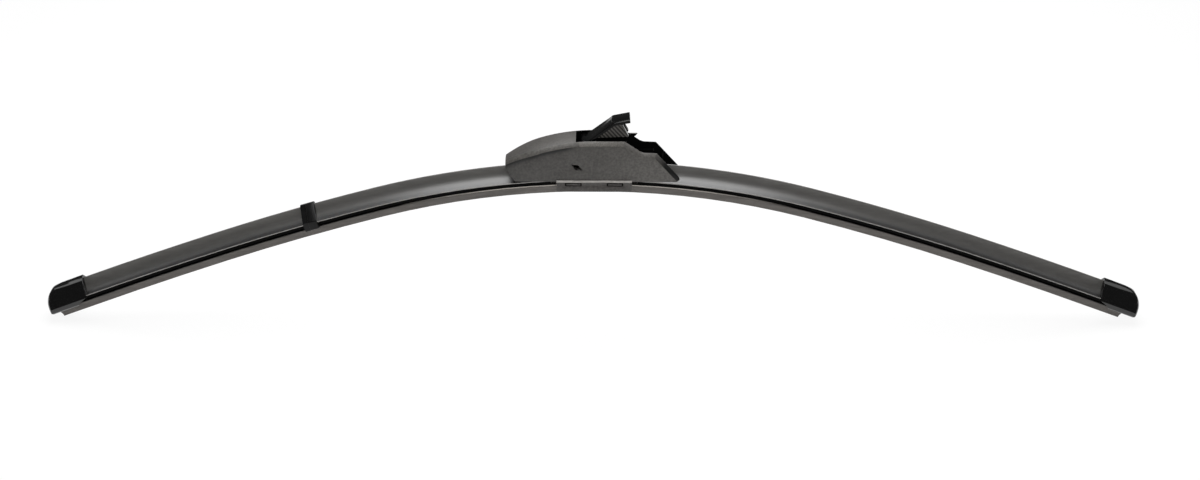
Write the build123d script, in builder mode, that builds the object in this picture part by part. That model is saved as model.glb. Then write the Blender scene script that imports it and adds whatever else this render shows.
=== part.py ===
# Flat wiper blade with a spoiler, a rocking arm adapter and a locking flap, in millimetres.
# X runs along the blade, -Y faces the viewer and +Z points away from the glass.
# The origin lies on the axis of the adapter's pivot pin.

from build123d import *

from math import atan2, cos, degrees, radians, sin
import os

os.makedirs("parts", exist_ok=True)

# Length of the blade, along the arch from the middle
blade_half = 322.6
cap_length = 24.0
cap_start = blade_half - cap_length

# Arch of the rails' mid-plane: three tangent arcs each way, then straight inside the caps
mid_radius = 457.0
mid_half = 122.0
quarter_radius = 1355.0
quarter_half = 216.0
end_radius = 2630.0
arch = [(mid_half, mid_radius), (quarter_half, quarter_radius), (cap_start, end_radius)]
pivot_height = 10.0

# How far cutting shapes overrun what they cut, and joined shapes sink into each other
cut_over = 1.0
path_over = 4.0
fuse = 0.4

# How far each strip runs into the caps
end_gap = 0.4
spoiler_reach = 11.4
rail_reach = 15.4
rubber_reach_left = 20.9
rubber_reach_right = 17.9

# Rails
rail_wide = 3.4
rail_thick = 0.9
rail_inner = 0.9
rail_play = 0.05
rail_outer = rail_inner + rail_wide
rail_top = rail_thick / 2 + rail_play
rail_half = cap_start + rail_reach

# Rubber strip
rubber_left = cap_start + rubber_reach_left
rubber_right = cap_start + rubber_reach_right
head_half = 2.6
head_top = 1.5
head_slope = 0.5
web_half = rail_inner - 2 * rail_play
heel_half = 2.7
heel_low = -1.9
heel_slope = 0.3
hinge_half = 0.45
shoulder_half = 2.8
shoulder_top = -3.2
shoulder_edge = 0.9
shoulder_bevel = 0.4
tip_half = 0.35
tip_low = -8.7
tip_tall = 1.5

# Spoiler
spoiler_start = 24.0
spoiler_end = cap_start + spoiler_reach
lip_front = -7.4
lip_rear = 6.8
lip_low = 0.9
lip_top = 1.5
lip_under = 0.3
ridge_front = 1.1
ridge_rear = 1.9
ridge_top = 8.75
ridge_crown = 0.2
crown_flat = 0.6
front_hollow = 1.9
rear_hollow = 0.8
claw_half = 5.2
claw_low = -1.5
claw_lip = 3.4
seat_gap = 0.1

# End caps
cap_gap = 0.15
cap_skin = 1.5
cap_crown = 1.55
cap_front = lip_front - cap_skin
cap_rear = lip_rear + cap_skin
cap_top = ridge_top + cap_crown
cap_low = -2.75
cap_brow = 0.4
cap_bevel = 0.8
cap_knee = (-2.3, 8.8)
cap_hip = (6.2, 6.6)
cap_edge = 1.2
crown_run = 11.0
end_height = 2.2
end_round = 7.5
toe_back = 1.4
mouth_low = 0.6
cap_run = cap_length - crown_run
cap_drop = cap_top - end_height
crown_radius = (cap_run**2 + cap_drop**2 - 2 * cap_run * end_round) / (2 * (cap_drop - end_round))
crown_turn = degrees(atan2(crown_radius - cap_drop, cap_run - end_round))
mouth_knee = (5.7, -1.6)
mouth_foot = 6.5

# Retaining clip
clip_place = 161.1
clip_wide = 8.2
clip_thick = 1.2
clip_gap = 0.1
clip_low = -2.6
clip_brow = lip_top + 1.0
clip_knee = (-3.4, 6.9)
clip_round = 0.9
clip_step = 0.5
clip_step_share = 0.4

# Adapter housing
housing_half = 10.4
wall = 2.4
inner_half = housing_half - wall
housing_low = -8.4
rim_top = 14.9
rim_bevel = 2.1
steepest_top = 0.4
along_y = 0.8
hood_mid = (-30.0, 10.3)
hood_end = -10.1
roof = 1.6
bulkhead = 2.0
bulkhead_low = 4.1
boss_round = 4.2
boss_face = 5.7
boss_gap = 0.4
blind_depth = 1.3

# Housing's side outline
nose_x = -49.1
nose_top = 1.9
nose_low = -1.9
nose_foot = -43.9
rim_end = 16.6
notch = (25.4, 8.9)
rest_start = (27.4, 8.2)
rest_end = (34.3, 7.9)
tail_top = (46.6, -5.9)
tail_tip = (47.3, -7.6)
tail_foot = 45.4
catch_tip = (24.0, 12.8)
catch_root = 18.5
catch_low = 11.2
catch_wide = 1.4
window = [(-12.6, 1.9), (-8.8, 1.5), (-6.4, -1.5), (-10.2, -1.6)]
room_over = 6.0

# Ledges and ribs on the housing's inner walls
ledge_middle = (20.5, 3.2)
ledge_long = 25.0
ledge_thick = 1.2
ledge_deep = 1.2
rib_middle = (37.8, -2.0)
rib_thick = 1.0
rib_deep = 0.8
rib_tall = 7.0

# Nose bend: the side walls curve in, about an axis that leans back by this angle
nose_lean = 60.0
nose_bend_x = -34.0
nose_bend_radius = 20.5
nose_bend_end = 14.5
nose_reach = 180.0
nose_wall = 1.2
brim = 2.6
brim_lead = 0.1
brim_bend_radius = 17.5

# Pivot pin
pin_round = 2.0
pin_run = 0.05
pin_seat = 0.01
pin_end_gap = 0.1
pin_edge = 0.3
pin_half = inner_half + blind_depth - pin_end_gap

# Base bracket
bracket_half = 20.8
skirt_gap = 0.35
skirt_wall = 0.9
skirt_inner = housing_half + skirt_gap
skirt_half = skirt_inner + skirt_wall
skirt_top = 2.6
skirt_low = -3.8
skirt_foot = 0.5
skirt_end = 0.7
saddle_half = 7.4
saddle_top = 3.0
saddle_bevel = 1.0
floor_top = -1.5
floor_low = -3.0
pedestal_half = boss_face - boss_gap
pedestal_long = 6.5
pedestal_neck = 4.2
pedestal_top = 3.6
pedestal_bevel = 1.4
mark_wide = 9.1
mark_place = 11.5
mark_deep = 0.5
mark_tall = 2.0
mark_height = 0.4
mark_line = 0.6

# Locking flap
flap_x = -5.6
flap_z = 11.6
flap_open = 37.3
flap_half = 6.3
flap_plate = 1.5
flap_lift = 0.7
flap_bend = 20.7
flap_tip = (29.0, -3.3)
barrel_round = 2.0
trunnion_round = 1.6
trunnion_run = 0.05
tip_slant = 0.7
bend_slant = 0.3
flange = 1.2
flange_inset = 0.5
flange_start = 7.0
flange_brow = (22.8, -1.6)
flange_step = (23.6, -4.0)
flange_foot = (22.6, -10.8)
hook_thick = 1.2
hook_deep = 3.0
grip_middle = (20.3, 1.0)
grip_long = 1.0
grip_tall = 0.8
latch_middle = (12.0, -1.6)
latch_long = 4.0
latch_tall = 2.4


def station(s):
    # place and slope of the rails at a distance along the arch
    reach = abs(s)
    side = 1 if s >= 0 else -1
    x = z = turn = begun = 0.0
    for end, radius in arch:
        more = turn + min(max(reach - begun, 0), end - begun) / radius
        x += radius * (sin(more) - sin(turn))
        z += radius * (cos(more) - cos(turn))
        turn = more
        begun = end
    rest = max(reach - begun, 0)
    x += rest * cos(turn)
    z -= rest * sin(turn)
    return side * x, z - pivot_height, side * turn


def point(s):
    x, z, turn = station(s)
    return (x, 0, z)


def section_plane(s):
    x, z, turn = station(s)
    return Plane(origin=(x, 0, z), x_dir=(0, 1, 0), z_dir=(cos(turn), 0, -sin(turn)))


def side_plane(s):
    x, z, turn = station(s)
    return Plane(origin=(x, 0, z), x_dir=(cos(turn), 0, -sin(turn)), z_dir=(0, -1, 0))


def rail_line(start, end):
    breaks = [-stop for stop, radius in reversed(arch)] + [stop for stop, radius in arch]
    stops = [start] + [b for b in breaks if start < b < end] + [end]
    with BuildLine() as line:
        for a, b in zip(stops, stops[1:]):
            middle = (a + b) / 2
            if abs(middle) > cap_start:
                Line(point(a), point(b))
            else:
                ThreePointArc(point(a), point(middle), point(b))
    return line.wires()[0]


def bowed(a, b, depth):
    # point in the middle of a chord, set to its right by the depth
    run = b[0] - a[0]
    rise = b[1] - a[1]
    length = (run * run + rise * rise) ** 0.5
    return ((a[0] + b[0]) / 2 + depth * rise / length, (a[1] + b[1]) / 2 - depth * run / length)


def mirrored_outline(points):
    # closed outline from its points on the +Y side, listed from the top down
    return points + [(-y, z) for y, z in reversed(points)]


def spoiler_face(grow):
    front = (lip_front, lip_top)
    ridge_a = (ridge_front, ridge_top)
    ridge_b = (ridge_rear, ridge_top)
    rear = (lip_rear, lip_top)
    with BuildSketch() as face:
        with BuildLine():
            ThreePointArc(front, bowed(front, ridge_a, front_hollow), ridge_a)
            ThreePointArc(ridge_a, bowed(ridge_a, ridge_b, -ridge_crown), ridge_b)
            ThreePointArc(ridge_b, bowed(ridge_b, rear, rear_hollow), rear)
            Polyline(
                rear,
                (lip_rear, lip_low),
                (claw_half, lip_low - lip_under),
                (claw_half, claw_low),
                (-claw_half, claw_low),
                (-claw_half, lip_low - lip_under),
                (lip_front, lip_low),
                front,
            )
        make_face()
        if grow:
            offset(amount=grow, mode=Mode.REPLACE)
    return face.sketch


def nose_face(inset, bend_radius):
    # plan of the housing's nose across the leaning axis, u towards the tip
    half = housing_half - inset
    radius = bend_radius - inset
    tip = half - radius + (radius**2 - nose_bend_end**2) ** 0.5
    far = nose_reach
    with BuildSketch() as face:
        with BuildLine():
            for side in (-1, 1):
                RadiusArc((0, side * half), (nose_bend_end, side * tip), side * radius)
                Line((0, side * half), (-far, side * half))
            Line((-far, -half), (-far, half))
            Line((nose_bend_end, -tip), (nose_bend_end, tip))
        make_face()
    return face.sketch


def hood_face(drop):
    # side view of all that lies under the hood's top line, once it is lowered by the drop
    low = housing_low - room_over
    with BuildSketch() as face:
        with BuildLine():
            hood = TangentArc((0, rim_top - drop), (hood_mid[0], hood_mid[1] - drop), tangent=(-1, 0))
            bow = TangentArc(hood @ 1, (nose_x, nose_top - drop), tangent=hood % 1)
            past = nose_x - room_over
            Polyline(bow @ 1, (past, nose_top - drop - room_over / 2), (past, low), (0, low), hood @ 0)
        make_face()
    return face.sketch


nose_plane = Plane(
    origin=(nose_bend_x, 0, 0),
    x_dir=(-sin(radians(nose_lean)), 0, cos(radians(nose_lean))),
    z_dir=(-cos(radians(nose_lean)), 0, -sin(radians(nose_lean))),
)
bracket_plane = Plane(origin=(-bracket_half, 0, -pivot_height), x_dir=(0, 1, 0), z_dir=(1, 0, 0))
flap_plane = Plane(
    origin=(flap_x, 0, flap_z),
    x_dir=(cos(radians(flap_open)), 0, sin(radians(flap_open))),
    z_dir=(0, -1, 0),
)

# Rubber strip
with BuildPart() as wiper_rubber:
    with BuildSketch(section_plane(-rubber_left)):
        with BuildLine():
            Polyline(
                *mirrored_outline(
                    [
                        (head_half - head_slope, head_top),
                        (head_half, rail_top),
                        (web_half, rail_top),
                        (web_half, -rail_top),
                        (heel_half, -rail_top),
                        (heel_half - heel_slope, heel_low),
                        (hinge_half, heel_low),
                        (hinge_half, shoulder_top),
                        (shoulder_half - shoulder_bevel, shoulder_top),
                        (shoulder_half, shoulder_top - shoulder_bevel),
                        (shoulder_half, shoulder_top - shoulder_edge),
                        (2 * tip_half, tip_low + tip_tall),
                        (tip_half, tip_low),
                    ]
                ),
                close=True,
            )
        make_face()
    sweep(path=rail_line(-rubber_left, rubber_right))

# Rails
with BuildPart() as rail_rear:
    with BuildSketch(section_plane(-rail_half)):
        with Locations((rail_inner + rail_wide / 2, 0)):
            Rectangle(rail_wide, rail_thick)
    sweep(path=rail_line(-rail_half, rail_half))

with BuildPart() as rail_front:
    mirror(rail_rear.part, about=Plane.XZ)

# Spoiler halves
with BuildPart() as spoiler_right:
    with BuildSketch(section_plane(spoiler_start)):
        add(spoiler_face(0))
        with BuildLine():
            Polyline(
                *mirrored_outline(
                    [
                        (head_half + seat_gap, head_top + seat_gap),
                        (head_half + seat_gap, rail_top + seat_gap),
                        (rail_outer + seat_gap, rail_top + seat_gap),
                        (rail_outer + seat_gap, -rail_top - seat_gap),
                        (claw_lip, -rail_top - seat_gap),
                        (claw_lip, claw_low - cut_over),
                    ]
                ),
                close=True,
            )
        make_face(mode=Mode.SUBTRACT)
    sweep(path=rail_line(spoiler_start, spoiler_end))

with BuildPart() as spoiler_left:
    mirror(spoiler_right.part, about=Plane.YZ)

# End caps
with BuildPart() as end_cap_right:
    with BuildSketch(section_plane(cap_start)):
        with BuildLine():
            Polyline(
                (cap_front + cap_bevel, cap_low),
                (cap_front, cap_low + cap_bevel),
                (cap_front, cap_brow),
                cap_knee,
                (ridge_front, cap_top),
                (ridge_rear + crown_flat, cap_top),
                cap_hip,
                (cap_rear, cap_brow),
                (cap_rear, cap_low + cap_bevel),
                (cap_rear - cap_bevel, cap_low),
                close=True,
            )
        make_face()
    extrude(amount=cap_length)
    with BuildSketch(side_plane(cap_start)):
        with BuildLine():
            outline = Polyline(
                (crown_run, cap_top),
                (0, cap_top),
                (0, mouth_low),
                mouth_knee,
                (mouth_foot, cap_low),
                (cap_length - toe_back, cap_low),
            )
            CenterArc((cap_length - end_round, end_height), end_round, 0, crown_turn)
            CenterArc((crown_run, cap_top - crown_radius), crown_radius, crown_turn, 90 - crown_turn)
            TangentArc((cap_length, end_height), outline @ 1, tangent=(0, -1))
        make_face()
    extrude(amount=2 * cap_rear, both=True, mode=Mode.INTERSECT)
    curved = end_cap_right.edges().filter_by(GeomType.LINE, reverse=True)
    front_edges = curved.filter_by_position(Axis.Y, cap_front, cap_knee[0])
    chamfer(front_edges.sort_by(Axis.Z)[-2:], cap_edge)
    with BuildSketch(section_plane(cap_start)):
        add(spoiler_face(cap_gap))
        with Locations((0, cap_low)):
            Rectangle(2 * (claw_half + cap_gap), 2 * (lip_low - cap_low))
    extrude(amount=spoiler_reach + end_gap, mode=Mode.SUBTRACT)
    with BuildSketch(section_plane(cap_start)):
        Rectangle(2 * (rail_outer + cap_gap), 2 * (rail_top + cap_gap))
    extrude(amount=rail_reach + end_gap, mode=Mode.SUBTRACT)
    with BuildSketch(section_plane(cap_start)):
        with Locations((0, tip_low)):
            Rectangle(2 * (shoulder_half + cap_gap), 2 * (head_top + cap_gap - tip_low))
    extrude(amount=max(rubber_reach_left, rubber_reach_right) + end_gap, mode=Mode.SUBTRACT)

with BuildPart() as end_cap_left:
    mirror(end_cap_right.part, about=Plane.YZ)

# Retaining clip
with BuildPart() as retaining_clip:
    with BuildSketch(section_plane(-clip_place - clip_wide / 2)):
        with BuildLine():
            FilletPolyline(
                (lip_front - clip_thick, clip_low),
                (lip_front - clip_thick, clip_brow),
                clip_knee,
                (ridge_front - crown_flat, ridge_top + clip_thick),
                (ridge_rear + crown_flat, ridge_top + clip_thick),
                (lip_rear + clip_thick, clip_brow),
                (lip_rear + clip_thick, clip_low),
                radius=clip_round,
                close=True,
            )
        make_face()
        add(spoiler_face(clip_gap), mode=Mode.SUBTRACT)
        with Locations((0, claw_low)):
            Rectangle(2 * claw_lip, path_over, mode=Mode.SUBTRACT)
    extrude(amount=clip_wide)
    with BuildSketch(section_plane(-clip_place - clip_wide / 2)):
        with BuildLine():
            Polyline(
                (lip_front - 2 * clip_thick, clip_low - cut_over),
                (lip_front - clip_thick + clip_step, clip_low - cut_over),
                (lip_front - clip_thick + clip_step, clip_brow),
                (clip_knee[0] + clip_step, clip_knee[1] - clip_step),
                (ridge_front - crown_flat, ridge_top + clip_thick - clip_step),
                (ridge_front - crown_flat, ridge_top + 2 * clip_thick),
                (lip_front - 2 * clip_thick, ridge_top + 2 * clip_thick),
                close=True,
            )
        make_face()
    extrude(amount=clip_wide * clip_step_share, mode=Mode.SUBTRACT)

# Base bracket
with BuildPart() as base_bracket:
    with BuildSketch(bracket_plane):
        with BuildLine():
            Polyline(
                *mirrored_outline(
                    [
                        (saddle_half - saddle_bevel, saddle_top),
                        (saddle_half, saddle_top - saddle_bevel),
                        (saddle_half, floor_top),
                        (skirt_inner, floor_top),
                        (skirt_inner, skirt_top),
                        (skirt_half, skirt_top - skirt_wall),
                        (skirt_half, skirt_low),
                        (skirt_inner, skirt_low),
                        (skirt_inner - skirt_foot, floor_low),
                        (claw_half, floor_low),
                    ]
                ),
                close=True,
            )
        make_face()
    extrude(amount=2 * bracket_half)
    with BuildSketch(Plane.XZ):
        with BuildLine():
            Polyline(
                (-pedestal_long, saddle_top - pivot_height - fuse),
                (pedestal_long, saddle_top - pivot_height - fuse),
                (pedestal_neck, pin_round - pedestal_bevel),
                (pedestal_neck, pedestal_top - pedestal_bevel),
                (pedestal_neck - pedestal_bevel, pedestal_top),
                (pedestal_bevel - pedestal_neck, pedestal_top),
                (-pedestal_neck, pedestal_top - pedestal_bevel),
                (-pedestal_neck, pin_round - pedestal_bevel),
                close=True,
            )
        make_face()
    extrude(amount=pedestal_half, both=True)
    with BuildSketch(section_plane(-bracket_half - path_over)):
        with BuildLine():
            Polyline(
                *mirrored_outline(
                    [
                        (head_half + seat_gap, head_top + seat_gap),
                        (head_half + seat_gap, rail_top),
                        (rail_outer + seat_gap, rail_top),
                        (rail_outer + seat_gap, -rail_top),
                        (heel_half + 2 * seat_gap, -rail_top),
                        (heel_half + 2 * seat_gap, floor_low - cut_over),
                    ]
                ),
                close=True,
            )
        make_face()
    sweep(path=rail_line(-bracket_half - path_over, bracket_half + path_over), mode=Mode.SUBTRACT)
    with Locations(Location((0, 0, 0), (90, 0, 0))):
        Cylinder(pin_round + pin_seat, 4 * pedestal_half, mode=Mode.SUBTRACT)
    for side in (-1, 1):
        for place in (-mark_place, mark_place):
            with Locations((place, side * (skirt_half - mark_deep / 2), mark_height - pivot_height)):
                Box(mark_wide, mark_deep, mark_tall, mode=Mode.SUBTRACT)
                Box(mark_wide - 2 * mark_line, mark_deep, mark_tall - 2 * mark_line)
    chamfer(base_bracket.edges().filter_by(Axis.Y).group_by(Axis.Z)[0], skirt_end)

# Pivot pin
with BuildPart() as pivot_pin:
    with Locations(Location((0, 0, 0), (90, 0, 0))):
        Cylinder(pin_round, 2 * pin_half)
    chamfer(pivot_pin.edges().filter_by(GeomType.CIRCLE), pin_edge)

# Inside of the housing
with BuildPart() as housing_room:
    with BuildSketch(Plane.XZ):
        add(hood_face(roof))
        with Locations((hood_end, housing_low - room_over)):
            Rectangle(
                2 * tail_tip[0] - hood_end,
                rim_top - housing_low + 2 * room_over,
                align=(Align.MIN, Align.MIN),
            )
    extrude(amount=inner_half, both=True)
    with BuildSketch(nose_plane):
        add(nose_face(nose_wall, brim_bend_radius))
    extrude(amount=nose_reach, both=True, mode=Mode.INTERSECT)

# What the nose's walls are set back by, under the hood's brim
with BuildPart() as brim_undercut:
    with BuildSketch(Plane.XZ):
        add(hood_face(brim))
    extrude(amount=2 * housing_half, both=True)
    with BuildSketch(nose_plane):
        add(nose_face(-brim_lead, brim_bend_radius))
    extrude(amount=nose_reach, both=True, mode=Mode.SUBTRACT)

# Adapter housing
with BuildPart() as adapter_housing:
    with BuildSketch(Plane.XZ):
        with BuildLine():
            hood = TangentArc((0, rim_top), hood_mid, tangent=(-1, 0))
            TangentArc(hood @ 1, (nose_x, nose_top), tangent=hood % 1)
            Polyline(
                (0, rim_top),
                (rim_end, rim_top),
                notch,
                rest_start,
                rest_end,
                tail_top,
                tail_tip,
                (tail_foot, housing_low),
                (nose_foot, housing_low),
                (nose_x, nose_low),
                (nose_x, nose_top),
            )
        make_face()
    extrude(amount=housing_half, both=True)
    with BuildSketch(nose_plane):
        add(nose_face(0, nose_bend_radius))
    extrude(amount=nose_reach, both=True, mode=Mode.INTERSECT)
    tops = [face for face in adapter_housing.faces() if face.normal_at().Z > steepest_top]
    chamfer([edge for face in tops for edge in face.edges() if abs((edge % 0.5).Y) < along_y], rim_bevel)
    add(brim_undercut.part, mode=Mode.SUBTRACT)
    add(housing_room.part, mode=Mode.SUBTRACT)
    with Locations((hood_end - bulkhead / 2, 0, (bulkhead_low + rim_top - roof) / 2)):
        Box(bulkhead, 2 * (inner_half + fuse), rim_top - roof - bulkhead_low)
    for side in (-1, 1):
        with Locations(Location((0, side * (boss_face + inner_half + fuse) / 2, 0), (90, 0, 0))):
            Cylinder(boss_round, inner_half + fuse - boss_face)
        with Locations((ledge_middle[0], side * (inner_half + (fuse - ledge_deep) / 2), ledge_middle[1])):
            Box(ledge_long, ledge_deep + fuse, ledge_thick)
        with Locations((rib_middle[0], side * (inner_half + (fuse - rib_deep) / 2), rib_middle[1])):
            Box(rib_thick, rib_deep + fuse, rib_tall)
    with BuildSketch(Plane.XZ.offset(-inner_half - catch_wide)):
        with BuildLine():
            Polyline(
                (catch_root, catch_tip[1]),
                catch_tip,
                (catch_tip[0] - catch_wide, catch_low),
                (catch_root, catch_low),
                close=True,
            )
        make_face()
    extrude(amount=catch_wide)
    with Locations(Location((0, 0, 0), (90, 0, 0))):
        Cylinder(pin_round + pin_run, 2 * (inner_half + blind_depth), mode=Mode.SUBTRACT)
    with Locations(Location((flap_x, 0, flap_z), (90, 0, 0))):
        Cylinder(trunnion_round + trunnion_run, 2 * (inner_half + blind_depth), mode=Mode.SUBTRACT)
    with BuildSketch(Plane.XZ):
        with BuildLine():
            Polyline(*window, close=True)
        make_face()
    extrude(amount=3 * housing_half, both=True, mode=Mode.SUBTRACT)

# Locking flap
with BuildPart() as locking_flap:
    with BuildSketch(flap_plane):
        with BuildLine():
            Polyline(
                (0, flap_lift),
                (flap_bend, flap_lift),
                flap_tip,
                (flap_tip[0] - tip_slant, flap_tip[1] - flap_plate),
                (flap_bend - bend_slant, flap_lift - flap_plate),
                (0, flap_lift - flap_plate),
                close=True,
            )
        make_face()
        Circle(barrel_round)
    extrude(amount=flap_half, both=True)
    for side in (-1, 1):
        flange_middle = flap_half - flange_inset - flange / 2
        with BuildSketch(flap_plane.offset(side * flange_middle)):
            with BuildLine():
                Polyline(
                    (flange_start, 0),
                    (flap_bend, 0),
                    flange_brow,
                    flange_step,
                    flange_foot,
                    close=True,
                )
            make_face()
        extrude(amount=flange / 2, both=True)
        with BuildSketch(flap_plane.offset(side * (flange_middle - hook_deep / 2))):
            with BuildLine():
                Polyline(
                    flange_step,
                    flange_foot,
                    (flange_foot[0] - hook_thick, flange_foot[1]),
                    (flange_step[0] - hook_thick, flange_step[1]),
                    close=True,
                )
            make_face()
        extrude(amount=hook_deep / 2, both=True)
    with Locations(flap_plane):
        Cylinder(trunnion_round, 2 * (inner_half + blind_depth - pin_end_gap))
    with BuildSketch(flap_plane):
        with Locations(grip_middle):
            Rectangle(grip_long, grip_tall)
        with Locations(latch_middle):
            Rectangle(latch_long, latch_tall)
    extrude(amount=flap_half - flange_inset - flange, both=True)

wiper_rubber.part.label = "wiper_rubber"
rail_front.part.label = "rail_front"
rail_rear.part.label = "rail_rear"
spoiler_left.part.label = "spoiler_left"
spoiler_right.part.label = "spoiler_right"
end_cap_left.part.label = "end_cap_left"
end_cap_right.part.label = "end_cap_right"
retaining_clip.part.label = "retaining_clip"
base_bracket.part.label = "base_bracket"
pivot_pin.part.label = "pivot_pin"
adapter_housing.part.label = "adapter_housing"
locking_flap.part.label = "locking_flap"

export_step(wiper_rubber.part, "parts/wiper_rubber.step")
export_step(rail_front.part, "parts/rail_front.step")
export_step(rail_rear.part, "parts/rail_rear.step")
export_step(spoiler_left.part, "parts/spoiler_left.step")
export_step(spoiler_right.part, "parts/spoiler_right.step")
export_step(end_cap_left.part, "parts/end_cap_left.step")
export_step(end_cap_right.part, "parts/end_cap_right.step")
export_step(retaining_clip.part, "parts/retaining_clip.step")
export_step(base_bracket.part, "parts/base_bracket.step")
export_step(pivot_pin.part, "parts/pivot_pin.step")
export_step(adapter_housing.part, "parts/adapter_housing.step")
export_step(locking_flap.part, "parts/locking_flap.step")
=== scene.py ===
from math import cos, pi, radians, sin

import bpy
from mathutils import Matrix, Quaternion, Vector


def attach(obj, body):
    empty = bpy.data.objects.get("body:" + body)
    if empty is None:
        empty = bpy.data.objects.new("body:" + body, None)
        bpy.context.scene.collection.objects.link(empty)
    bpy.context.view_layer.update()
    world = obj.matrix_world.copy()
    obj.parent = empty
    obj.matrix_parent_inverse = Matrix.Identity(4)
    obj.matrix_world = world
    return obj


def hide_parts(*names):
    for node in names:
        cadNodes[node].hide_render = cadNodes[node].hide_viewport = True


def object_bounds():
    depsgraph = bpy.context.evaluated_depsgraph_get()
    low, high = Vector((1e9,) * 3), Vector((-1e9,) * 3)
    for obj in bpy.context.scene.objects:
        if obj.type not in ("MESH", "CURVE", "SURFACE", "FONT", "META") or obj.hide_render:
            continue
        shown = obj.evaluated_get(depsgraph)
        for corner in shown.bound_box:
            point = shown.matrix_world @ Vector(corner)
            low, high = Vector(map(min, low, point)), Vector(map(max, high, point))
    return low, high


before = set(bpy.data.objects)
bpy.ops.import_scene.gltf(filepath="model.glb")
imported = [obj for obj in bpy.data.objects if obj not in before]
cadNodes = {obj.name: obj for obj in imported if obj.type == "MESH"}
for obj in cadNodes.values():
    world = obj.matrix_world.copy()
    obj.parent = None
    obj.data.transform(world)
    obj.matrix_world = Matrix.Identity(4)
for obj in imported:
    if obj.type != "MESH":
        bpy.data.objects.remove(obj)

cadBox = [list(corner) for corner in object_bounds()]  # kept before anything is added
scene = bpy.context.scene
mm = 0.001
print("frame loaded:", len(cadNodes), "nodes")


def linearColour(hexCode):  # sRGB hex to linear
    parts = [int(hexCode[i:i + 2], 16) / 255 for i in (1, 3, 5)]
    return [p / 12.92 if p <= 0.04045 else ((p + 0.055) / 1.055) ** 2.4 for p in parts] + [1.0]


def addNode(tree, kind, settings, inputs):  # one node, its settings, and its values or links
    node = tree.nodes.new(kind)
    for name, value in settings.items():
        setattr(node, name, value)
    for socket, value in inputs.items():
        if isinstance(value, bpy.types.NodeSocket):
            tree.links.new(value, node.inputs[socket])
        else:
            node.inputs[socket].default_value = value
    return node


def newMaterial(name, look):  # a Principled material with the look's plain values on its sockets
    material = bpy.data.materials.new(name)
    material.use_nodes = True
    tree = material.node_tree
    shader = tree.nodes["Principled BSDF"]
    shader.inputs["Roughness"].default_value = look["rough"]
    shader.inputs["Metallic"].default_value = look.get("metal", 0.0)
    shader.inputs["Specular IOR Level"].default_value = look.get("gloss", 0.5)
    place = addNode(tree, "ShaderNodeTexCoord", {}, {}).outputs["Object"]
    return material, tree, shader, place


def perMetre(sizeMm):  # texture scale for a feature of this size
    return 1 / (sizeMm * mm)


# The noise behind the finishes: where it reaches the dark and the light shade, and how fine it gets
noise = {"darkUpTo": 0.32, "lightFrom": 0.68, "patchDetail": 6.0, "gritDetail": 3.0}


def mottle(tree, shader, place, look):  # drifts between two shades in patches, stretched along the blade
    run = addNode(tree, "ShaderNodeMapping", {}, {"Vector": place, "Scale": (1 / look["stretch"], 1, 1)})
    patch = addNode(tree, "ShaderNodeTexNoise", {}, {
        "Vector": run.outputs[0], "Scale": perMetre(look["patch"]), "Detail": noise["patchDetail"],
    })
    shades = addNode(tree, "ShaderNodeValToRGB", {}, {"Fac": patch.outputs["Fac"]})
    darkStop, lightStop = shades.color_ramp.elements
    darkStop.position = noise["darkUpTo"]
    darkStop.color = linearColour(look["dark"])
    lightStop.position = noise["lightFrom"]
    lightStop.color = linearColour(look["light"])
    tree.links.new(shades.outputs["Color"], shader.inputs["Base Color"])
    return shades.outputs["Color"]


def grain(tree, shader, place, look):  # fine unevenness of the surface
    grit = addNode(tree, "ShaderNodeTexNoise", {}, {
        "Vector": place, "Scale": perMetre(look["grit"]), "Detail": noise["gritDetail"],
    })
    bump = addNode(tree, "ShaderNodeBump", {}, {
        "Height": grit.outputs["Fac"], "Strength": look["bump"], "Distance": look["depth"] * mm,
    })
    tree.links.new(bump.outputs["Normal"], shader.inputs["Normal"])


def tint(tree, shader, colour, along, stops, share=1.0):  # stops: place in mm, strength there
    first, last = stops[0][0], stops[-1][0]
    spread = addNode(tree, "ShaderNodeMapRange", {}, {
        "Value": along, "From Min": first * mm, "From Max": last * mm,
    })
    bands = addNode(tree, "ShaderNodeValToRGB", {}, {"Fac": spread.outputs[0]})
    steps = bands.color_ramp.elements
    while len(steps) < len(stops):
        steps.new(0.5)  # moved to its place below
    for step, (reach, level) in zip(steps, stops):
        step.position = (reach - first) / (last - first)
        step.color = (level, level, level, 1)
    mixed = addNode(tree, "ShaderNodeMixRGB", {"blend_type": "MULTIPLY"}, {
        "Fac": share, "Color1": colour, "Color2": bands.outputs["Color"],
    })
    tree.links.new(mixed.outputs["Color"], shader.inputs["Base Color"])
    return mixed.outputs["Color"]


def finish(name, look):  # shades, grain, and bands along or across the blade where the look has them
    material, tree, shader, place = newMaterial(name, look)
    colour = mottle(tree, shader, place, look)
    grain(tree, shader, place, look)
    for direction, axis in (("along", "X"), ("across", "Y")):
        if direction in look:
            parts = addNode(tree, "ShaderNodeSeparateXYZ", {}, {"Vector": place})
            colour = tint(tree, shader, colour, parts.outputs[axis], look[direction])
    return material


# Looks: patch, grit and depth are sizes in mm, stretch is how far the patches are drawn out along the blade

# Natural rubber, moulded and slit: its bloom dulls it to a warm dark grey in long faint streaks
rubberLook = {
    "dark": "#413D39", "light": "#514D49", "patch": 3.0, "stretch": 8.0,
    "rough": 0.45, "grit": 0.35, "bump": 0.3, "depth": 0.05,
}

# The shoulder's bevel, shiny: a painted highlight, pale near the bracket, fading to painted black shade
# towards the ends
bevelHighlightLook = {
    "dark": "#C4BEB6", "light": "#D8D2CA", "patch": 2.0, "stretch": 20.0,
    "rough": 0.28, "gloss": 0.8, "grit": 0.4, "bump": 0.1, "depth": 0.02,
    "along": [(-110.0, 0.006), (-75.0, 0.6), (-50.0, 1.0), (50.0, 1.0), (75.0, 0.6), (110.0, 0.006)],
}
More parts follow.
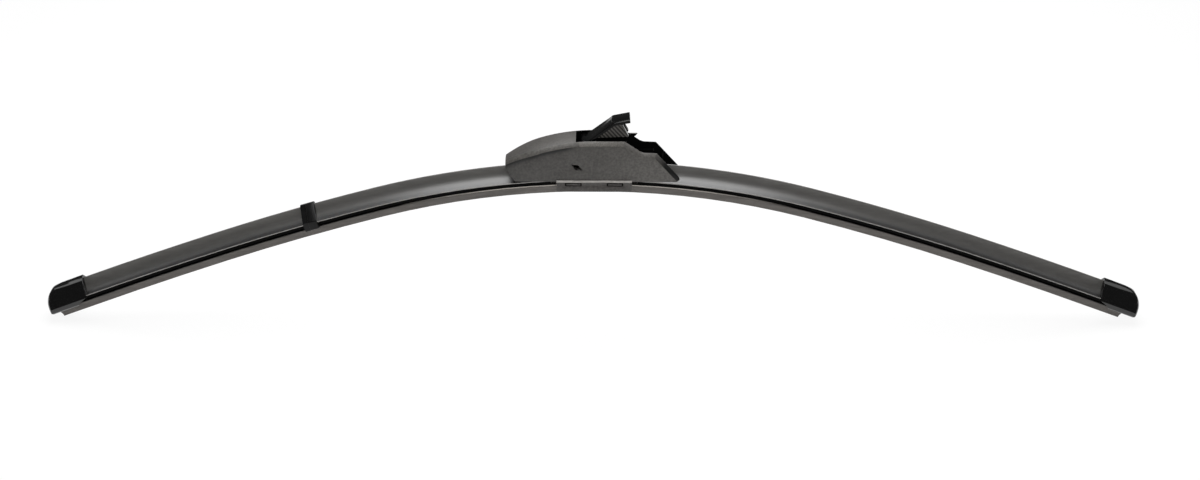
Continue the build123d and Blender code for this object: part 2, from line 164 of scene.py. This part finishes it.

# Soft elastomer, extruded: satin dark grey with faint die lines along it; across it a painted highlight on
# the ridge, painted shade towards the rear, and the darkest painted shade in the trough above the lip
elastomerLook = {
    "dark": "#403F3D", "light": "#484745", "patch": 1.2, "stretch": 60.0,
    "rough": 0.36, "gloss": 0.9, "grit": 0.4, "bump": 0.15, "depth": 0.02,
    "across": [
        (-7.4, 0.2), (-6.2, 0.04), (-4.8, 0.06), (-3.8, 0.4), (-2.4, 0.85), (-1.2, 1.0), (-0.3, 1.1),
        (0.6, 1.35), (1.1, 1.6), (1.9, 1.6), (2.6, 1.2), (4.0, 0.9), (5.4, 0.5), (6.8, 0.4),
    ],
}

# The spoiler's lip: a painted highlight, paler and duller than the spoiler
lipHighlightLook = {
    "dark": "#7A7875", "light": "#8E8C89", "patch": 1.0, "stretch": 30.0,
    "rough": 0.5, "grit": 0.4, "bump": 0.2, "depth": 0.03,
}

# Hard polypropylene base under the spoiler, extruded with it: black and matt, and painted black shade too,
# so the recess stays dark;
# the housing's inside, the rubber's head and hinge, the spoiler's underside and the bracket's grooves get
# the same black as painted shade
blackAndShadeLook = {
    "dark": "#040404", "light": "#080808", "patch": 2.0, "stretch": 30.0,
    "rough": 0.8, "gloss": 0.05, "grit": 0.5, "bump": 0.2, "depth": 0.03,
}

# ABS from a polished mould: deep black, mirrors its surroundings with a slight ripple
capLook = {
    "dark": "#050505", "light": "#080808", "patch": 6.0, "stretch": 1.0,
    "rough": 0.1, "gloss": 0.7, "grit": 3.0, "bump": 0.08, "depth": 0.02,
}

# Acetal, moulded: the clip is black, with a softer gloss than the caps
clipLook = {
    "dark": "#090909", "light": "#101010", "patch": 3.0, "stretch": 1.0,
    "rough": 0.34, "gloss": 0.22, "grit": 1.2, "bump": 0.15, "depth": 0.03,
}

# Glass-filled polyester from a spark-eroded mould: satin grey, finely pitted and flecked
# (the flecks are drawn coarser than the real ones, to show)
polyesterLook = {
    "dark": "#32302E", "light": "#44423F", "patch": 1.2, "stretch": 1.0,
    "rough": 0.45, "grit": 0.45, "bump": 0.35, "depth": 0.05,
}

# The bevels on the walls' sloping ends, with painted shade darkening them towards the foot
footShadeLook = {**polyesterLook, "along": [(33.0, 1.0), (36.0, 0.7), (39.0, 0.04), (47.0, 0.02)]}

# The walls' rim bevels: a painted highlight, pale in specks
rimHighlightLook = {**polyesterLook, "dark": "#3F3D3A", "light": "#625F5A", "patch": 0.5}

# The bracket is moulded apart from the housing, in a batch of nearly the same grey
bracketLook = {**polyesterLook, "dark": "#33312F", "light": "#454240"}

# The same polyester on the bracket's sloping ledges: a painted highlight, paler and a little smoother
ledgeHighlightLook = {
    "dark": "#827F7B", "light": "#A5A29E", "patch": 1.0, "stretch": 3.0,
    "rough": 0.38, "grit": 0.45, "bump": 0.3, "depth": 0.05,
}

# Painted shadow under the hood's edge and a painted highlight on the edge, fading towards the middle;
# the walls painted paler towards the arm, as painted light
brim = {
    "edge": [  # the hood's lower edge: along the blade, and height
        (-49.1, -0.1), (-45.5, 1.7), (-41.9, 3.5), (-38.2, 5.1), (-34.6, 6.5), (-31.1, 7.7),
        (-29.2, 8.4), (-24.0, 9.8), (-18.7, 11.0), (-13.4, 11.9), (-8.1, 12.5),
    ],
    "paler": [(-45.0, 0.85), (-20.0, 0.95), (5.0, 1.1), (30.0, 1.5), (45.0, 1.5)],
    "below": [  # distance below the edge, less than nothing on the hood
        (-3.0, 1.2), (-2.2, 1.2), (-1.9, 1.6), (-0.1, 1.6), (0.0, 0.01),
        (0.7, 0.04), (1.3, 0.35), (2.0, 0.7), (3.4, 1.0),
    ],
    "fade": (-16.0, -9.0),
    "along": (-50.0, 0.0),  # the stretch and the heights that the edge's curve spans
    "height": (-2.0, 18.0),
}


def polyesterWithPaintedBrimShade():
    material, tree, shader, place = newMaterial("mouldedPolyesterPaintedBrimShade", polyesterLook)
    colour = mottle(tree, shader, place, polyesterLook)
    grain(tree, shader, place, polyesterLook)
    parts = addNode(tree, "ShaderNodeSeparateXYZ", {}, {"Vector": place})
    # the walls painted paler towards the arm: painted light
    colour = tint(tree, shader, colour, parts.outputs["X"], brim["paler"])
    (left, right), (low, high) = brim["along"], brim["height"]
    run = addNode(tree, "ShaderNodeMapRange", {}, {
        "Value": parts.outputs["X"], "From Min": left * mm, "From Max": right * mm,
    })
    edge = addNode(tree, "ShaderNodeFloatCurve", {}, {"Value": run.outputs[0]})
    line = edge.mapping.curves[0].points
    line[0].location = (0.0, (brim["edge"][0][1] - low) / (high - low))
    line[1].location = (1.0, (brim["edge"][-1][1] - low) / (high - low))
    for x, z in brim["edge"]:
        line.new((x - left) / (right - left), (z - low) / (high - low))
    edge.mapping.update()
    top = addNode(tree, "ShaderNodeMapRange", {}, {
        "Value": edge.outputs[0], "To Min": low * mm, "To Max": high * mm,
    })
    below = addNode(tree, "ShaderNodeMath", {"operation": "SUBTRACT"}, {
        0: top.outputs[0], 1: parts.outputs["Z"],
    })
    near, far = brim["fade"]
    share = addNode(tree, "ShaderNodeMapRange", {}, {
        "Value": parts.outputs["X"], "From Min": near * mm, "From Max": far * mm,
        "To Min": 1.0, "To Max": 0.0,
    })
    # painted shadow below the hood's edge, and a painted highlight on the edge above it
    tint(tree, shader, colour, below.outputs[0], brim["below"], share.outputs[0])
    return material


# Acetal, moulded: the flap is gloss black, with diagonal ribs on its flanges
# (the ribs are drawn coarser than the real ones, to show)
flapLook = {
    "dark": "#060606", "light": "#0A0A0A", "patch": 3.0, "stretch": 1.0,
    "rough": 0.12, "gloss": 0.12, "grit": 1.5, "bump": 0.05, "depth": 0.03,
}
flangeLook = {
    "dark": "#161514", "light": "#4E4C49", "pitch": 1.7, "lean": 42.0,
    "rough": 0.5, "gloss": 0.15, "bump": 0.5, "depth": 0.25,
}
waveStep = pi / 10  # from one band of Blender's wave texture to the next, at scale 1


def ribbedFlange():
    material, tree, shader, place = newMaterial("ribbedFlapAcetal", flangeLook)
    turned = addNode(tree, "ShaderNodeMapping", {}, {
        "Vector": place, "Rotation": (0, radians(flangeLook["lean"]), 0),
    })
    ribs = addNode(tree, "ShaderNodeTexWave", {"bands_direction": "X"}, {
        "Vector": turned.outputs[0], "Scale": perMetre(flangeLook["pitch"]) * waveStep, "Distortion": 0.0,
    })
    shades = addNode(tree, "ShaderNodeValToRGB", {}, {"Fac": ribs.outputs["Fac"]})
    darkStop, lightStop = shades.color_ramp.elements
    darkStop.color = linearColour(flangeLook["dark"])
    lightStop.color = linearColour(flangeLook["light"])
    bump = addNode(tree, "ShaderNodeBump", {}, {
        "Height": ribs.outputs["Fac"], "Strength": flangeLook["bump"], "Distance": flangeLook["depth"] * mm,
    })
    tree.links.new(shades.outputs["Color"], shader.inputs["Base Color"])
    tree.links.new(bump.outputs["Normal"], shader.inputs["Normal"])
    return material


# Spring steel with a black powder coat: dull and even
coatLook = {
    "dark": "#0C0C0C", "light": "#121212", "patch": 2.0, "stretch": 20.0,
    "rough": 0.5, "gloss": 0.4, "grit": 0.5, "bump": 0.2, "depth": 0.03,
}

# Ground steel: the pin is bright, with fine grinding lines
steelLook = {
    "dark": "#8C8C8A", "light": "#A6A6A4", "patch": 0.6, "stretch": 0.05,
    "rough": 0.28, "metal": 1.0, "grit": 0.6, "bump": 0.1, "depth": 0.02,
}

coat = finish("coatedSpringSteel", coatLook)
hiddenSteel = {"rail_front": coat, "rail_rear": coat, "pivot_pin": finish("groundSteel", steelLook)}
for name, material in hiddenSteel.items():
    cadNodes[name].data.materials.clear()
    cadNodes[name].data.materials.append(material)
print("hidden steel finished")

# Dressed copies of the solids: merged, flat faces made whole, edges rounded as the mould leaves them.
# Rounds are in mm. Edges that turn by more than "sharp" degrees stay crisp in the shading and are rounded,
# or are rounded only past "roundFrom" degrees where that is given
dressing = {
    "wiper_rubber": {"body": "blade", "round": 0.15, "sharp": 35},
    "spoiler_left": {"body": "blade", "round": 0.12, "sharp": 40},
    "spoiler_right": {"body": "blade", "round": 0.12, "sharp": 40},
    "end_cap_left": {"body": "blade", "round": 0.1, "sharp": 30, "roundFrom": 45, "slivers": True},
    "end_cap_right": {"body": "blade", "round": 0.1, "sharp": 30, "roundFrom": 45, "slivers": True},
    "retaining_clip": {"body": "blade", "round": 0.2, "sharp": 30},
    "base_bracket": {"body": "blade", "round": 0.0, "sharp": 30},
    "adapter_housing": {"body": "adapter", "round": 0.12, "sharp": 32},
    "locking_flap": {"body": "flap", "round": 0.2, "sharp": 30},
}
meshing = {"weld": 0.001 * mm, "flatWithin": radians(0.3), "roundSteps": 2}


def dressedCopy(nodeName, values):
    bpy.ops.object.select_all(action="DESELECT")
    piece = bpy.data.objects.new(nodeName + "Dressed", cadNodes[nodeName].data.copy())
    scene.collection.objects.link(piece)
    piece.select_set(True)
    bpy.context.view_layer.objects.active = piece
    piece.data.materials.clear()
    bpy.ops.object.mode_set(mode="EDIT")
    bpy.ops.mesh.select_all(action="SELECT")
    bpy.ops.mesh.remove_doubles(threshold=meshing["weld"])
    if values["round"]:
        bpy.ops.mesh.dissolve_limited(angle_limit=meshing["flatWithin"])
    bpy.ops.object.mode_set(mode="OBJECT")
    if values["round"]:
        bevel = piece.modifiers.new("edges", "BEVEL")
        bevel.limit_method = "ANGLE"
        bevel.angle_limit = radians(values.get("roundFrom", values["sharp"]))
        bevel.width = values["round"] * mm
        bevel.segments = meshing["roundSteps"]
        bevel.use_clamp_overlap = False
        bevel.loop_slide = False  # keeps the rounding even where short edges meet
        bpy.ops.object.modifier_apply(modifier="edges")
    if values.get("slivers"):  # faces of no area, left where the rounded edges meet
        bpy.ops.object.mode_set(mode="EDIT")
        bpy.ops.mesh.select_all(action="SELECT")
        bpy.ops.mesh.dissolve_degenerate(threshold=meshing["weld"])
        bpy.ops.object.mode_set(mode="OBJECT")
    bpy.ops.object.shade_smooth_by_angle(angle=radians(values["sharp"]))
    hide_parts(nodeName)
    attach(piece, values["body"])
    return piece


pieces = {name: dressedCopy(name, values) for name, values in dressing.items()}
print("pieces dressed:", len(pieces))

# Where a piece changes its finish: sizes in mm, and how far a face is turned (1 is straight along an axis)
spoilerParts = {
    "clawSide": 5.2, "slack": 0.15, "lipSide": 6.6,
    "under": -0.2, "upright": 0.9, "lipTurn": 0.6,
}
rubberParts = {
    "neckSide": 0.5, "heelSide": (1.5, 2.72), "bevelUp": (0.4, 0.9), "bevelOut": 0.4,
    "neckUpright": 0.995, "upright": 0.9, "flat": 0.9,
}
housingParts = {
    "innerSide": 8.05, "ledgeTop": 4.5, "footStart": 33.0, "rim": (-8.0, 17.0),
    "footTurn": 0.3, "bevelTurn": 0.5, "notUp": 0.1,
    "inward": -1.0,  # a side's place in mm times its turn: less than this faces the middle
}
bracketParts = {"grooveSide": 11.15, "slack": 0.1, "ledgeSide": 8.05, "upright": 0.9, "ledgeTurn": 0.6}
flapParts = {"plateSide": 6.05, "upright": 0.9}


def spoilerSlot(middle, normal):  # 1 hard black base and painted black shade under the spoiler, 2 the lip's painted highlight, else the soft spoiler
    side, out = abs(middle.y), abs(normal.y)
    claw = abs(side - spoilerParts["clawSide"]) < spoilerParts["slack"] and out > spoilerParts["upright"]
    if normal.z < spoilerParts["under"] or claw:
        return 1
    return 2 if side > spoilerParts["lipSide"] and out > spoilerParts["lipTurn"] else 0


def rubberSlot(middle, normal):  # 1 the head, hinge and up-facing faces, in painted black shade up in the recess, 2 the shoulder's bevel, with its painted highlight
    side, out = abs(middle.y), abs(normal.y)
    inner, outer = rubberParts["heelSide"]
    least, most = rubberParts["bevelUp"]
    if least < normal.z < most and out > rubberParts["bevelOut"] and side > inner:
        return 2
    neck = out > rubberParts["neckUpright"] and side < rubberParts["neckSide"]
    heel = out > rubberParts["upright"] and inner < side < outer
    return int(neck or heel or normal.z > rubberParts["flat"])


def housingSlot(middle, normal):  # 1 the inside, in painted black shade, 2 the sloping ends' bevels, with painted shade, 3 the rim by the flap, with a painted highlight
    side, out = abs(middle.y), abs(normal.y)
    rimStart, rimEnd = housingParts["rim"]
    sloping = normal.x > housingParts["footTurn"] and out > housingParts["bevelTurn"]
    if sloping and middle.x > housingParts["footStart"]:
        return 2
    if min(normal.z, out) > housingParts["bevelTurn"] and rimStart < middle.x < rimEnd:
        return 3
    low = middle.x > 0 and middle.z < housingParts["ledgeTop"]
    inward = middle.y * normal.y < housingParts["inward"]
    return int(side < housingParts["innerSide"] and (normal.z < housingParts["notUp"] or inward or low))


def bracketSlot(middle, normal):  # 1 the sloping ledges along the skirts, with a painted highlight, 2 their grooves' floors, in painted black shade
    side, out = abs(middle.y), abs(normal.y)
    if out > bracketParts["upright"] and abs(side - bracketParts["grooveSide"]) < bracketParts["slack"]:
        return 2
    return int(min(normal.z, out) > bracketParts["ledgeTurn"] and side > bracketParts["ledgeSide"])


def flapSlot(middle, normal):  # 1 the flanges' sides, inside the plate's edges
    return int(abs(normal.y) > flapParts["upright"] and abs(middle.y) < flapParts["plateSide"])


def oneFinish(middle, normal):
    return 0


def paint(piece, materials, pick):  # one slot for each material, chosen face by face
    for material in materials:
        piece.data.materials.append(material)
    for face in piece.data.polygons:
        face.material_index = pick(face.center / mm, face.normal)


# black base, and painted black shade in recesses, insides and grooves
base = finish("blackBaseAndPaintedShade", blackAndShadeLook)
gloss = finish("polishedAbs", capLook)
spoilerFinishes = [finish("extrudedElastomerPaintedShading", elastomerLook), base, finish("elastomerLipPaintedHighlight", lipHighlightLook)]
rubberFinishes = [finish("bladeRubber", rubberLook), base, finish("rubberBevelPaintedHighlight", bevelHighlightLook)]
bracketFinishes = [
    finish("darkMouldedPolyester", bracketLook), finish("polyesterLedgePaintedHighlight", ledgeHighlightLook), base,
]
housingFinishes = [
    polyesterWithPaintedBrimShade(), base, finish("polyesterEndsPaintedShade", footShadeLook), finish("polyesterRimPaintedHighlight", rimHighlightLook),
]
painting = {
    "wiper_rubber": (rubberFinishes, rubberSlot),
    "spoiler_left": (spoilerFinishes, spoilerSlot),
    "spoiler_right": (spoilerFinishes, spoilerSlot),
    "end_cap_left": ([gloss], oneFinish),
    "end_cap_right": ([gloss], oneFinish),
    "retaining_clip": ([finish("clipAcetal", clipLook)], oneFinish),
    "base_bracket": (bracketFinishes, bracketSlot),
    "adapter_housing": (housingFinishes, housingSlot),
    "locking_flap": ([finish("flapAcetal", flapLook), ribbedFlange()], flapSlot),
}
for name, (materials, pick) in painting.items():
    paint(pieces[name], materials, pick)
print("finishes set")

# Camera, from the photograph's perspective: the middle of the rails is the point it was fitted to
cameraView = {
    "middle": (0, 0, -10 * mm),
    "distance": 1.15,
    "elevation": 24.0,
    "aimDown": 1.749,
    "aimRight": 0.185,
    "roll": 0.25,
    "lens": 61.95,
}


def addCamera(view):
    up = radians(view["elevation"])
    back = Vector((0, -cos(up), sin(up)))
    down = radians(view["elevation"] + view["aimDown"])
    right = radians(view["aimRight"])
    aim = Vector((cos(down) * sin(right), cos(down) * cos(right), -sin(down)))
    bpy.ops.object.camera_add(location=Vector(view["middle"]) + back * view["distance"])
    camera = bpy.context.object
    camera.rotation_mode = "QUATERNION"
    camera.rotation_quaternion = aim.to_track_quat("-Z", "Y") @ Quaternion((0, 0, 1), radians(view["roll"]))
    camera.data.lens = view["lens"]
    scene.camera = camera


addCamera(cameraView)

# Studio: pale floor under the blade's ends, a broad lamp over the middle, a fill from the front that isn't
# mirrored, two weak lamps for the ends, dim surroundings; sizes in metres, power in watts
studio = {"floorSize": 8.0, "floor": "#F2F2F2", "floorRough": 0.9, "shadowShare": 0.1, "world": 0.08}
lamps = {
    "softbox": {"place": (0, 0.26, 0.78), "aim": (0, 0.1, 0), "long": 0.9, "wide": 1.0, "power": 14.0},
    "fill": {
        "place": (0, -1.8, 0.75), "aim": (0, 0, 0), "long": 1.0, "wide": 0.5, "power": 18.0,
        "mirrored": False,
    },
    "sideLeft": {
        "place": (-1.1, 0.41, 0.71), "aim": (-0.3, 0, -0.08), "long": 0.5, "wide": 0.4, "power": 0.8,
    },
    "sideRight": {
        "place": (1.1, 0.41, 0.71), "aim": (0.3, 0, -0.08), "long": 0.5, "wide": 0.4, "power": 0.6,
    },
}


def addFloor():
    bpy.ops.object.select_all(action="DESELECT")
    bpy.ops.mesh.primitive_plane_add(size=studio["floorSize"], location=(0, 0, cadBox[0][2]))
    floor = bpy.context.object
    floor.name = "floor"
    material, tree, shader, _ = newMaterial("paleFloor", {"rough": studio["floorRough"]})
    shader.inputs["Base Color"].default_value = linearColour(studio["floor"])
    path = addNode(tree, "ShaderNodeLightPath", {}, {})
    seen = path.outputs["Is Camera Ray"]
    for ray in ("Is Glossy Ray", "Is Transmission Ray"):  # gloss shows the white floor too
        either = addNode(tree, "ShaderNodeMath", {"operation": "MAXIMUM"}, {0: seen, 1: path.outputs[ray]})
        seen = either.outputs[0]
    share = addNode(tree, "ShaderNodeMath", {"operation": "MULTIPLY"}, {
        0: seen, 1: 1 - studio["shadowShare"],
    })
    white = addNode(tree, "ShaderNodeEmission", {}, {"Strength": 1.0})
    mixed = addNode(tree, "ShaderNodeMixShader", {}, {
        0: share.outputs[0], 1: shader.outputs[0], 2: white.outputs[0],
    })
    tree.links.new(mixed.outputs[0], tree.nodes["Material Output"].inputs["Surface"])
    floor.data.materials.append(material)


def addLamp(name, values):
    bpy.ops.object.light_add(type="AREA", location=values["place"])
    lamp = bpy.context.object
    lamp.name = name
    lamp.data.shape = "RECTANGLE"
    lamp.data.size = values["long"]
    lamp.data.size_y = values["wide"]
    lamp.data.energy = values["power"]
    lamp.visible_glossy = values.get("mirrored", True)
    lamp.rotation_mode = "QUATERNION"
    lamp.rotation_quaternion = (Vector(values["aim"]) - Vector(values["place"])).to_track_quat("-Z", "Y")


addFloor()
for name, values in lamps.items():
    addLamp(name, values)
scene.world = bpy.data.worlds.new("studio")
scene.world.use_nodes = True
surroundings = scene.world.node_tree.nodes["Background"]
surroundings.inputs["Color"].default_value = (1, 1, 1, 1)
surroundings.inputs["Strength"].default_value = studio["world"]
scene.view_settings.view_transform = "Standard"
print("camera, floor and lamps placed")
